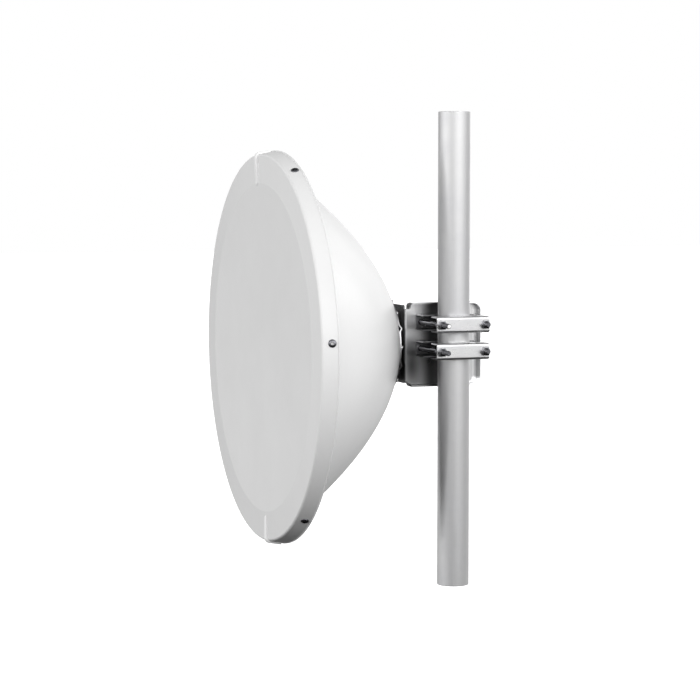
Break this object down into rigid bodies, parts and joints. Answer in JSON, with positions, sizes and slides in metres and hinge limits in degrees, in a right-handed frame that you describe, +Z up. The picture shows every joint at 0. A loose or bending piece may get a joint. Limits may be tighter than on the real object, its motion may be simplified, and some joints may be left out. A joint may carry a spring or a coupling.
{
  "type": "parabolic dish antenna",
  "caption": "Covered parabolic microwave dish on an offset steel bracket, clamped to the side of a short tubular pole.",
  "frame": {"origin": "centre of the flat lower end of the pole", "axes": "+Z up the pole, -Y along the dish's beam, +X across, away from the dish towards the clamp's nut side"},
  "size_m": [0.6334, 0.3562, 0.76],
  "materials": {
    "cover_plastic": "light grey moulded plastic, satin",
    "reflector_paint": "white powder coat on a spun bowl",
    "hub_steel": "bare pressed steel",
    "bracket_steel": "polished stainless sheet",
    "clamp_steel": "zinc-plated pressed sheet",
    "bolt_steel": "zinc-plated bolts, nuts and washers",
    "pole_steel": "satin galvanised tube",
    "screw_steel": "dark plated pan-head screws"
  },
  "bodies": {
    "root": {"pole": "pole_steel", "radome_cover": "cover_plastic", "reflector": "reflector_paint", "hub_plate": "hub_steel", "bracket": "bracket_steel", "rim_screw_1": "screw_steel", "rim_screw_2": "screw_steel", "rim_screw_3": "screw_steel", "rim_screw_4": "screw_steel", "rim_screw_5": "screw_steel", "rim_screw_6": "screw_steel", "hub_bolt_1": "bolt_steel", "hub_bolt_2": "bolt_steel", "hub_bolt_3": "bolt_steel", "hub_bolt_4": "bolt_steel", "upper_front_channel": "clamp_steel", "upper_rear_channel": "clamp_steel", "lower_front_channel": "clamp_steel", "lower_rear_channel": "clamp_steel", "upper_front_bolt": "bolt_steel", "upper_front_washer": "bolt_steel", "upper_front_nut": "bolt_steel", "upper_back_bolt": "bolt_steel", "upper_back_washer": "bolt_steel", "upper_back_nut": "bolt_steel", "lower_front_bolt": "bolt_steel", "lower_front_washer": "bolt_steel", "lower_front_nut": "bolt_steel", "lower_back_bolt": "bolt_steel", "lower_back_washer": "bolt_steel", "lower_back_nut": "bolt_steel"}
  },
  "joints": []
}
